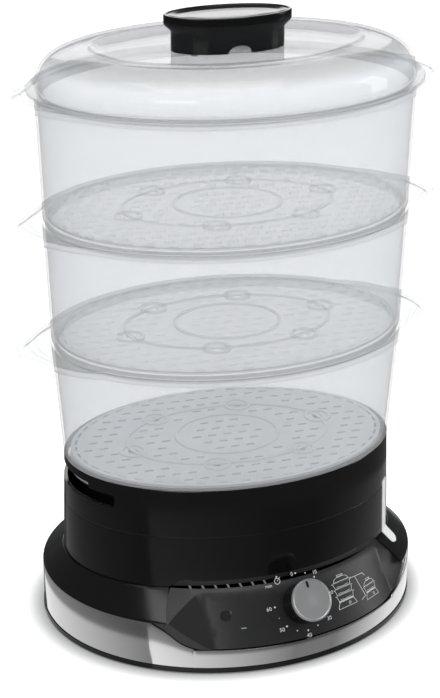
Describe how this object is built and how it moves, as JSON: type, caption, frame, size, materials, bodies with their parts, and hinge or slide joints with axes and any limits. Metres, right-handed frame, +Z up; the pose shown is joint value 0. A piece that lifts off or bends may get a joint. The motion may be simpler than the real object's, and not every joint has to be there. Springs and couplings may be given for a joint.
{
  "type": "electric food steamer",
  "caption": "Tiered oval food steamer: clear stacking baskets under a domed lid, on a black base with a water tank, heater and clockwork timer.",
  "frame": {"origin": "on the table, under the middle of the steamer", "axes": "+Z up; the control panel faces -Y; the baskets' ears point along +X and -X"},
  "size_m": [0.293, 0.2326, 0.4216],
  "materials": {
    "black_gloss_plastic": "glossy moulded black",
    "black_satin_plastic": "satin moulded black",
    "steel_band": "fine brushed, half polished",
    "clear_plastic": "clear, colourless, glossy",
    "gauge_plastic": "milky translucent",
    "lens_plastic": "milky translucent",
    "silver_cap": "satin silver",
    "rubber_black": "matt",
    "silicone_seal": "matt silicone",
    "heater_steel": "pressed stainless sheet",
    "element_sheath": "heat-greyed metal sheath",
    "fastener_steel": "zinc plated",
    "brass_parts": "plain brass",
    "bell_steel": "plated pressed steel",
    "timer_plastic": "off-white moulded",
    "thermostat_body": "brown phenolic",
    "fuse_sleeve": "woven glass sleeve",
    "terminal_plastic": "natural nylon",
    "lead_insulation": "insulated wire",
    "steam_ring_plastic": "satin dark grey"
  },
  "bodies": {
    "base": {"base_housing": "black_gloss_plastic", "trim_band": "steel_band", "control_panel": "black_satin_plastic", "bottom_cover": "black_satin_plastic", "rubber_feet": "rubber_black", "base_screws": "fastener_steel", "water_gauge": "gauge_plastic", "fill_chute": "black_satin_plastic", "heater_plate": "heater_steel", "heater_seal": "silicone_seal", "heater_clamp": "heater_steel", "heater_nuts": "fastener_steel", "heating_element": "element_sheath", "thermostat": "thermostat_body", "thermal_fuse": "fuse_sleeve", "pilot_lens": "lens_plastic", "pilot_lamp": "terminal_plastic", "timer_case": "timer_plastic", "timer_plate": "heater_steel", "timer_screws": "fastener_steel", "timer_bell": "bell_steel", "timer_barrel": "brass_parts", "timer_gears": "brass_parts", "terminal_block": "terminal_plastic", "internal_leads": "lead_insulation", "cord_gland": "rubber_black"},
    "knob": {"timer_shaft": "fastener_steel", "knob_body": "black_satin_plastic", "knob_cap": "silver_cap"},
    "steam_ring": {"steam_ring": "steam_ring_plastic"},
    "juice_tray": {"juice_tray": "clear_plastic"},
    "basket_1": {"basket_1": "clear_plastic"},
    "basket_2": {"basket_2": "clear_plastic"},
    "basket_3": {"basket_3": "clear_plastic"},
    "lid": {"lid": "clear_plastic", "lid_handle": "black_gloss_plastic", "lid_screws": "fastener_steel"}
  },
  "joints": [
    {"name": "timer_turn", "type": "hinge", "parent": "base", "child": "knob", "pos_m": [0.0255, -0.09302, 0.037], "axis": [-0.129, 0.7968, -0.5903], "range_deg": [-25, 275]},
    {"name": "steam_ring_lift", "type": "slide", "parent": "base", "child": "steam_ring", "axis": [0, 0, 1], "range_m": [0, 0.012]},
    {"name": "juice_tray_lift", "type": "slide", "parent": "base", "child": "juice_tray", "axis": [0, 0, 1], "range_m": [0, 0.03]},
    {"name": "basket_1_lift", "type": "slide", "parent": "juice_tray", "child": "basket_1", "axis": [0, 0, 1], "range_m": [0, 0.03]},
    {"name": "basket_2_lift", "type": "slide", "parent": "basket_1", "child": "basket_2", "axis": [0, 0, 1], "range_m": [0, 0.03]},
    {"name": "basket_3_lift", "type": "slide", "parent": "basket_2", "child": "basket_3", "axis": [0, 0, 1], "range_m": [0, 0.03]},
    {"name": "lid_lift", "type": "slide", "parent": "basket_3", "child": "lid", "axis": [0, 0, 1], "range_m": [0, 0.05]}
  ]
}
